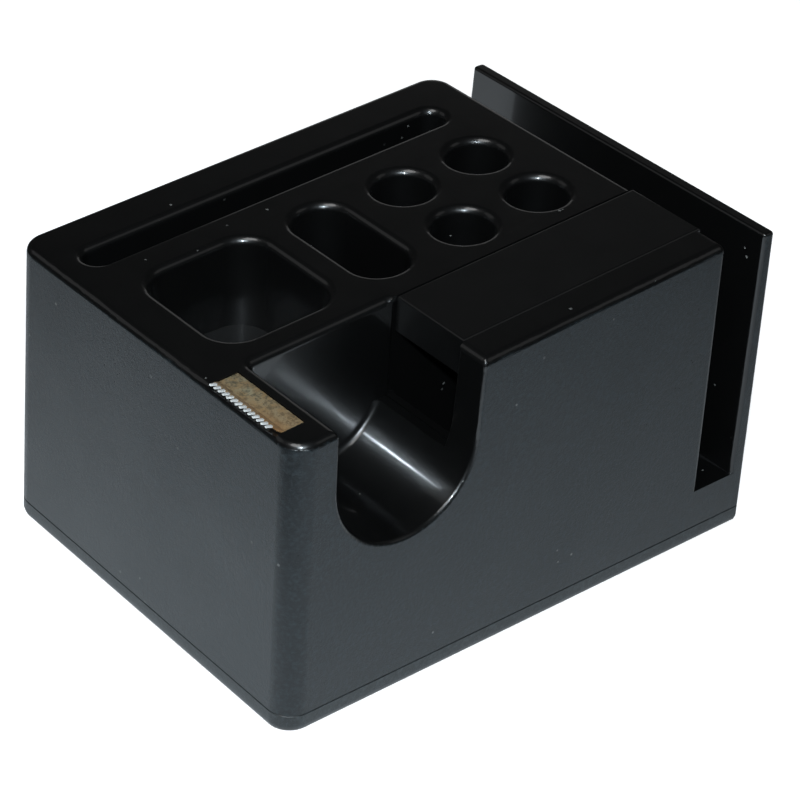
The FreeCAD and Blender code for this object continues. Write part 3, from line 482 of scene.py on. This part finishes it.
def screw_mesh(length):
    """One screw in millimetres, head down at height 0 and pointed end up."""
    cross = []
    for turn in range(4):
        for x, y in ((CROSS_ARM, -CROSS_HALF), (CROSS_ARM, 0), (CROSS_ARM, CROSS_HALF),
                     (CROSS_KNEE, CROSS_HALF), (CROSS_HALF, CROSS_HALF), (CROSS_HALF, CROSS_KNEE)):
            for _ in range(turn):
                x, y = -y, x
            cross.append((x, y))
    start = math.atan2(cross[0][1], cross[0][0])

    def circle(radius, height):
        return [(radius * math.cos(start + 2 * math.pi * step / SCREW_SIDES),
                 radius * math.sin(start + 2 * math.pi * step / SCREW_SIDES), height)
                for step in range(SCREW_SIDES)]

    rings = [[(x * RECESS_TAPER, y * RECESS_TAPER, RECESS_FLOOR) for x, y in cross],
             [(x, y, RECESS_MOUTH) for x, y in cross]]
    for radius, height in ((0.72, 0.0), (0.93, 0.12), (1.0, 0.34), (1.0, 0.8), (0.97, 1.0)):
        rings.append(circle(HEAD_RADIUS * radius, HEAD_HEIGHT * height))
    rings.append(circle(SHANK_RADIUS * 0.82, HEAD_HEIGHT))
    for turn in range(int((length - THREAD_STOP) / THREAD_PITCH)):
        low = HEAD_HEIGHT + THREAD_START + turn * THREAD_PITCH
        rings += [circle(THREAD_ROOT, low), circle(SHANK_RADIUS, low + 0.5), circle(THREAD_ROOT, low + 1.0)]
    rings.append(circle(SHANK_RADIUS * 0.3, HEAD_HEIGHT + length))
    made = bmesh.new()
    points = [[made.verts.new([part * MM for part in place]) for place in ring] for ring in rings]
    made.faces.new(points[0])
    made.faces.new(points[-1])
    for lower, upper in zip(points, points[1:]):
        for step in range(SCREW_SIDES):
            nxt = (step + 1) % SCREW_SIDES
            made.faces.new((lower[step], lower[nxt], upper[nxt], upper[step]))
    bmesh.ops.recalc_face_normals(made, faces=made.faces)
    shade_smooth(made, SCREW_SMOOTH_ANGLE)
    return bpy.data.objects.new("one_screw", as_mesh("one_screw", made))


def loose_solids(node):
    """Lowest and highest corners of each separate solid of a CAD node, in metres."""
    edited = merged(nodes[node].data)
    left = set(edited.verts)
    found = []
    while left:
        group = [left.pop()]
        for vertex in group:
            for edge in vertex.link_edges:
                other = edge.other_vert(vertex)
                if other in left:
                    left.remove(other)
                    group.append(other)
        low = Vector([min(vertex.co[axis] for vertex in group) for axis in range(3)])
        high = Vector([max(vertex.co[axis] for vertex in group) for axis in range(3)])
        found.append((low, high))
    edited.free()
    return sorted(found, key=lambda pair: tuple(pair[0]))


def repeated_tree(name, material, seed):
    """Geometry Nodes tree that puts one piece on every point, each turned by chance."""
    tree = bpy.data.node_groups.new(name, "GeometryNodeTree")
    tree.interface.new_socket("Geometry", in_out="INPUT", socket_type="NodeSocketGeometry")
    tree.interface.new_socket("Piece", in_out="INPUT", socket_type="NodeSocketObject")
    tree.interface.new_socket("Twist", in_out="INPUT", socket_type="NodeSocketFloat")
    tree.interface.new_socket("Geometry", in_out="OUTPUT", socket_type="NodeSocketGeometry")
    made = {}
    for key, kind in (("in", "NodeGroupInput"), ("out", "NodeGroupOutput"),
                      ("piece", "GeometryNodeObjectInfo"), ("points", "GeometryNodeMeshToPoints"),
                      ("spread", "GeometryNodeInstanceOnPoints"),
                      ("chance", "FunctionNodeRandomValue"), ("turn", "ShaderNodeCombineXYZ"),
                      ("real", "GeometryNodeRealizeInstances"), ("finish", "GeometryNodeSetMaterial")):
        made[key] = tree.nodes.new(kind)
    made["chance"].data_type = "FLOAT"
    made["chance"].inputs["Seed"].default_value = seed
    made["finish"].inputs["Material"].default_value = material
    join = tree.links.new
    join(made["in"].outputs["Geometry"], made["points"].inputs["Mesh"])
    join(made["points"].outputs["Points"], made["spread"].inputs["Points"])
    join(made["in"].outputs["Piece"], made["piece"].inputs["Object"])
    join(made["piece"].outputs["Geometry"], made["spread"].inputs["Instance"])
    join(made["in"].outputs["Twist"], made["chance"].inputs[3])
    join(made["chance"].outputs[1], made["turn"].inputs["Z"])
    join(made["turn"].outputs[0], made["spread"].inputs["Rotation"])
    join(made["spread"].outputs["Instances"], made["real"].inputs["Geometry"])
    join(made["real"].outputs["Geometry"], made["finish"].inputs["Geometry"])
    join(made["finish"].outputs["Geometry"], made["out"].inputs["Geometry"])
    return tree


def repeated(name, places, holder, material, twist, seed):
    """Plain mesh object made of one piece set down at every place, turned by up to twist."""
    mesh = bpy.data.meshes.new(name)
    mesh.from_pydata(places, [], [])
    piece = as_object(name, mesh)
    tree = repeated_tree(name + "_tree", material, seed)
    modifier = piece.modifiers.new("set_down", "NODES")
    modifier.node_group = tree
    inputs = {item.name: item.identifier for item in tree.interface.items_tree if item.in_out == "INPUT"}
    modifier[inputs["Piece"]] = holder
    modifier[inputs["Twist"]] = twist
    settled(piece)
    return piece


screw_steel = steel("screw_steel", (0.62, 0.62, 0.60, 1), 0.3, 1800)
for seed, name, node in ((3, "base_screw_set", "case_screws"), (4, "ballast_screw_set", "ballast_screws"),
                         (5, "guide_screw_set", "guide_screws")):
    solids = loose_solids(node)
    low, high = solids[0]
    holder = screw_mesh((high.z - low.z) / MM - HEAD_HEIGHT)
    places = [((low.x + high.x) / 2, (low.y + high.y) / 2, low.z) for low, high in solids]
    screws = repeated(name, places, holder, screw_steel, math.pi / 2, seed)
    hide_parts(node)
    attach(screws, "case")


# ---- ballast --------------------------------------------------------------------------------
# Cast iron block that keeps the dispenser down while tape is torn off; grey primer over a
# rough cast skin, rusty in places.

def cast_iron():
    """Primed casting."""
    finish = Finish("ballast_iron", IOR=1.5)
    skin = finish.noise(700, 4, 0.7)
    rust = finish.noise(120, 4, 0.6).step(0.56, 0.7)
    finish.feed("Base Color", finish.mix(rust, (0.045, 0.047, 0.05, 1), (0.085, 0.035, 0.018, 1)))
    finish.feed("Roughness", 0.6 + rust * 0.25 + (skin - 0.5) * 0.2)
    finish.feed("Metallic", (1 - rust) * 0.35)
    finish.bump(skin, 0.00018)
    return finish.material


dressed("ballast_block", "ballast_weight", "case", cast_iron())


# ---- drawer guides --------------------------------------------------------------------------
# Two black channels screwed to the base, one along each side of the drawer; plain mould finish.

guide_plastic = moulded_plastic("guide_plastic", SKIN_BLACK, (0.010, 0.010, 0.010, 1), 0.4, 0.5)
dressed("guide_front", "drawer_guide_front", "case", guide_plastic)
dressed("guide_rear", "drawer_guide_rear", "case", guide_plastic)


# ---- drawer ---------------------------------------------------------------------------------
# Open tray that slides out of the left side, with a scooped grip; its front plate carries the
# same grain as the housing and lies flush with it.

drawer_plastic = moulded_plastic("drawer_plastic", SKIN_BLACK, (0.0055, 0.0055, 0.0053, 1), 0.36, 0.38)
dressed("drawer_tray", "drawer", "drawer", drawer_plastic, skin=True)


# ---- cutter ---------------------------------------------------------------------------------
# Serrated strip stamped from thin plated steel, pushed into the front ledge by its bent-down
# rear edge. The teeth are ground bright; the plating is brassy, stained and worn satin.

BLADE_LEFT = 21.5
BLADE_RIGHT = 44.4
BLADE_ROOTS = -68.35
BLADE_BEND = -67.1
BLADE_REAR = -62.0
BLADE_THICKNESS = 0.5
BLADE_SEAT = -0.7
BLADE_RISE = 0.45
TANG_DEPTH = 6.0
TANG_INSET = 2.15
TOOTH_TIPS = -69.98
TOOTH_COUNT = 14
TOOTH_BAND = 20.8
TOOTH_PITCH = TOOTH_BAND / TOOTH_COUNT
EDGE_ROUNDING = 0.07
BLADE_SMOOTH_ANGLE = math.radians(40)
CORNER_CUT = 1.2
CUT_BACK = 0.3
CUT_LIFT = 0.1
OVERLAP = 0.1


def extruded(edited, outline, thickness):
    """Solid between an outline of (x, y, z) points and the same outline lower down."""
    upper = [edited.verts.new((x * MM, y * MM, z * MM)) for x, y, z in outline]
    lower = [edited.verts.new((x * MM, y * MM, (z - thickness) * MM)) for x, y, z in outline]
    edited.faces.new(upper)
    edited.faces.new(list(reversed(lower)))
    for step in range(len(outline)):
        nxt = (step + 1) % len(outline)
        edited.faces.new((upper[nxt], upper[step], lower[step], lower[nxt]))


def blade_mesh(name, build, ground):
    """Mesh with rounded edges; ground says whether its faces were ground bright."""
    edited = bmesh.new()
    build(edited)
    bmesh.ops.recalc_face_normals(edited, faces=edited.faces)
    bmesh.ops.bevel(edited, geom=edited.edges[:], offset=EDGE_ROUNDING * MM, offset_type="OFFSET", segments=2,
                    profile=0.5, affect="EDGES", clamp_overlap=True)
    bmesh.ops.triangulate(edited, faces=edited.faces)
    for face in edited.faces:
        face.smooth = True
    for edge in edited.edges:
        edge.smooth = edge.calc_face_angle(0) < BLADE_SMOOTH_ANGLE
    mesh = as_mesh(name, edited)
    mark = mesh.attributes.new("ground", "FLOAT", "FACE")
    for face in mesh.polygons:
        mark.data[face.index].value = ground
    return mesh


def strip(edited):
    """Flat, raised front and tang of the blade."""
    upper = BLADE_SEAT + BLADE_THICKNESS
    front = top_height(BLADE_ROOTS) + upper + BLADE_RISE
    bend = top_height(BLADE_BEND) + upper
    rear = top_height(BLADE_REAR) + upper
    tang_left = BLADE_LEFT + TANG_INSET
    tang_right = BLADE_RIGHT - TANG_INSET
    tang_front = BLADE_REAR - BLADE_THICKNESS
    extruded(edited, [(BLADE_LEFT, BLADE_BEND, bend), (BLADE_RIGHT, BLADE_BEND, bend),
                      (BLADE_RIGHT, BLADE_REAR, rear), (BLADE_LEFT, BLADE_REAR, rear)], BLADE_THICKNESS)
    extruded(edited, [(BLADE_LEFT, BLADE_ROOTS, front), (BLADE_RIGHT - CORNER_CUT, BLADE_ROOTS, front),
                      (BLADE_RIGHT, BLADE_BEND - CUT_BACK, bend + CUT_LIFT),
                      (BLADE_RIGHT, BLADE_BEND + OVERLAP, bend),
                      (BLADE_LEFT, BLADE_BEND + OVERLAP, bend)], BLADE_THICKNESS)
    extruded(edited, [(tang_left, tang_front, rear - OVERLAP), (tang_right, tang_front, rear - OVERLAP),
                      (tang_right, BLADE_REAR, rear - OVERLAP), (tang_left, BLADE_REAR, rear - OVERLAP)],
             TANG_DEPTH)


def tooth(edited):
    """One tooth round the origin, pointing to -Y."""
    reach = TOOTH_TIPS - BLADE_ROOTS
    rise = BLADE_RISE * reach / (BLADE_ROOTS - BLADE_BEND)
    extruded(edited, [(-0.5, 0.25, -0.06), (-0.24, reach, rise - 0.12), (0.2, reach, rise - 0.12),
                      (0.42, 0.25, -0.06)], BLADE_THICKNESS * 0.9)


def one_mesh(name, meshes):
    """Several meshes in one object."""
    edited = bmesh.new()
    for mesh in meshes:
        edited.from_mesh(mesh)
    return as_object(name, as_mesh(name, edited))


OLIVE = (0.41, 0.36, 0.235, 1)
BRASS = (0.40, 0.27, 0.135, 1)
RUBBED_BARE = (0.15, 0.13, 0.085, 1)
STAINED = (0.29, 0.155, 0.065, 1)
GROUND_STEEL = (0.86, 0.86, 0.84, 1)


def worn_plating():
    """Brassy plated steel, mottled, rubbed and stained to the front and right, with bright teeth."""
    finish = Finish("blade_steel", Metallic=0.35)
    ground = finish.attribute("ground")
    stain = finish.noise(330, 4, 0.7)
    wear = finish.noise(1100, 4, 0.7)
    warm = finish.mix(stain.step(0.38, 0.62), BRASS, OLIVE)
    rubbed = finish.mix(wear.step(0.42, 0.62), warm, RUBBED_BARE)
    along = finish.node("ShaderNodeSeparateXYZ", Vector=finish.place, output="X")
    across = finish.node("ShaderNodeSeparateXYZ", Vector=finish.place, output="Y")
    edge = across.step(-0.0645, -0.068) * 0.55 + along.step(0.027, 0.043) * 0.45
    rubbed = finish.mix(edge * stain.step(0.25, 0.55), rubbed, STAINED)
    finish.feed("Base Color", finish.mix(ground, rubbed, GROUND_STEEL))
    finish.feed("Roughness", (1 - ground) * (0.42 + (wear - 0.5) * 0.3) + ground * 0.3)
    finish.bump(wear * 0.6 + stain * 0.4, 0.00002)
    return finish.material


plating = worn_plating()
one_tooth = bpy.data.objects.new("one_tooth", blade_mesh("one_tooth", tooth, 1.0))
tooth_height = top_height(BLADE_ROOTS) + BLADE_SEAT + BLADE_THICKNESS + BLADE_RISE
tooth_row = [((BLADE_LEFT + TOOTH_PITCH * (index + 0.5)) * MM, BLADE_ROOTS * MM, tooth_height * MM)
             for index in range(TOOTH_COUNT)]
teeth = repeated("teeth", tooth_row, one_tooth, plating, 0.0, 1)
cutter = one_mesh("serrated_cutter", (blade_mesh("strip", strip, 0.0), teeth.data))
bpy.data.objects.remove(teeth)
cutter.data.materials.clear()
cutter.data.materials.append(plating)
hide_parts("cutter_blade")
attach(cutter, "case")


# ---- lid of the tape well -------------------------------------------------------------------
# A flush cover of the same polished plastic, with a lip towards the cutter. It turns up on two
# short steel pins at its rear corners.

lid_plastic = moulded_plastic("lid_plastic", SKIN_BLACK, POLISHED_BLACK, 0.36, 0.37)
dressed("well_lid", "tape_lid", "lid", lid_plastic)
pin_steel = steel("pin_steel", (0.6, 0.6, 0.6, 1), 0.22, 2500, (0.1, 1, 1))
dressed("lid_pin_a", "lid_pin_left", "lid", pin_steel)
dressed("lid_pin_b", "lid_pin_right", "lid", pin_steel)


# ---- tape core and its axle -----------------------------------------------------------------
# Two moulded halves push together into the core that carries the roll. It turns on a steel rod
# that drops into a groove on each side of the well.

core_plastic = moulded_plastic("core_plastic", SKIN_BLACK, (0.012, 0.012, 0.012, 1), 0.4, 0.46)
dressed("core_half_left", "tape_hub_left", "core", core_plastic)
dressed("core_half_right", "tape_hub_right", "core", core_plastic)
axle_steel = steel("axle_steel", (0.58, 0.58, 0.59, 1), 0.24, 1400, (1, 0.08, 0.08))
dressed("core_axle", "tape_axle", "axle", axle_steel)


# ---- floor ----------------------------------------------------------------------------------
# White sheet, plain white to the camera. What the object mirrors of it is greyer, grows dim away
# from the light and nearly ends at the sheet's own edge.

SHEET_CENTRE = (-0.02, -0.10)
SHEET_FALL = 0.28
SHEET_LEFT, SHEET_RIGHT = -0.3, 0.3
SHEET_FRONT, SHEET_BACK = -0.146, 0.5
SHEET_BLUR = 0.02
BEYOND_SHEET = 0.12
FLOOR_REACH = 6
FLOOR_GLOW = 0.72
SHEET_TINT = (0.64, 0.68, 0.71, 1)

floor_mesh = bpy.data.meshes.new("floor")
floor_mesh.from_pydata([(-FLOOR_REACH, -FLOOR_REACH, 0), (FLOOR_REACH, -FLOOR_REACH, 0),
                        (FLOOR_REACH, FLOOR_REACH, 0), (-FLOOR_REACH, FLOOR_REACH, 0)], [], [(0, 1, 2, 3)])
floor = as_object("floor", floor_mesh)
floor_finish = Finish("floor_white", Roughness=1.0, Specular_IOR_Level=0.0)
across = floor_finish.node("ShaderNodeSeparateXYZ", Vector=floor_finish.place, output="X")
along = floor_finish.node("ShaderNodeSeparateXYZ", Vector=floor_finish.place, output="Y")
far = ((across - SHEET_CENTRE[0]) ** 2 + (along - SHEET_CENTRE[1]) ** 2) * (1 / SHEET_FALL ** 2)
on_sheet = (across.step(SHEET_LEFT - SHEET_BLUR, SHEET_LEFT + SHEET_BLUR)
            * across.step(SHEET_RIGHT + SHEET_BLUR, SHEET_RIGHT - SHEET_BLUR)
            * along.step(SHEET_FRONT - SHEET_BLUR, SHEET_FRONT + SHEET_BLUR)
            * along.step(SHEET_BACK + SHEET_BLUR, SHEET_BACK - SHEET_BLUR))
mirrored = (far + 1) ** -1 * (on_sheet * (1 - BEYOND_SHEET) + BEYOND_SHEET)
camera_ray = floor_finish.node("ShaderNodeLightPath", output="Is Camera Ray")
glossy_ray = floor_finish.node("ShaderNodeLightPath", output="Is Glossy Ray") * (1 - camera_ray)
tint = floor_finish.mix(mirrored, (0, 0, 0, 1), SHEET_TINT)
floor_finish.feed("Base Color", floor_finish.mix(glossy_ray, (0.9, 0.9, 0.9, 1), tint))
glow = floor_finish.node("ShaderNodeEmission", Color=floor_finish.mix(glossy_ray, (1, 1, 1, 1), tint),
                         Strength=camera_ray.math("MAXIMUM", camera_ray, glossy_ray) * FLOOR_GLOW)
both = floor_finish.tree.nodes.new("ShaderNodeAddShader")
floor_finish.tree.links.new(floor_finish.shader.outputs[0], both.inputs[0])
floor_finish.tree.links.new(glow.socket, both.inputs[1])
floor_finish.tree.links.new(both.outputs[0], floor_finish.output.inputs[0])
floor_mesh.materials.append(floor_finish.material)


# ---- lamps and surroundings -----------------------------------------------------------------
# One small lamp beside the lens, a large soft one high in front, two dim panels that show in the
# rounded edges and a dim glow low behind. The room is dark; only the lens sees it white.

def lamp(name, place, aim, size, watts, colour=(1, 1, 1)):
    """Soft round lamp."""
    data = bpy.data.lights.new(name, "AREA")
    data.shape = "DISK"
    data.size = size
    data.energy = watts
    data.color = colour
    made = bpy.data.objects.new(name, data)
    made.location = place
    made.rotation_euler = (Vector(aim) - Vector(place)).to_track_quat("-Z", "Y").to_euler()
    scene.collection.objects.link(made)


AIM = (0, 0, 0.04)
lamp("lamp_by_camera", (0.402, -0.3575, 0.437), AIM, 0.02, 4.0, (0.8, 0.92, 1))
lamp("lamp_high", (0.3, -0.9, 1.5), AIM, 0.9, 7)
lamp("panel_left", (-0.89, -0.80, 0.79), AIM, 0.8, 0.35)
lamp("panel_right", (0.86, 0.83, 0.94), AIM, 0.8, 0.35)
lamp("backdrop_glow", (-0.97, 0.87, 0.28), AIM, 0.7, 0.28)

ROOM_LEVEL = 0.02

world = bpy.data.worlds.new("surroundings")
scene.world = world
world.use_nodes = True
tree = world.node_tree
tree.nodes.clear()
output = tree.nodes.new("ShaderNodeOutputWorld")
background = tree.nodes.new("ShaderNodeBackground")
tree.links.new(background.outputs[0], output.inputs[0])
path = tree.nodes.new("ShaderNodeLightPath")
pick = tree.nodes.new("ShaderNodeMix")
pick.data_type = "FLOAT"
pick.inputs[2].default_value = ROOM_LEVEL
pick.inputs[3].default_value = 1.0
tree.links.new(path.outputs["Is Camera Ray"], pick.inputs[0])
tree.links.new(pick.outputs[0], background.inputs["Strength"])
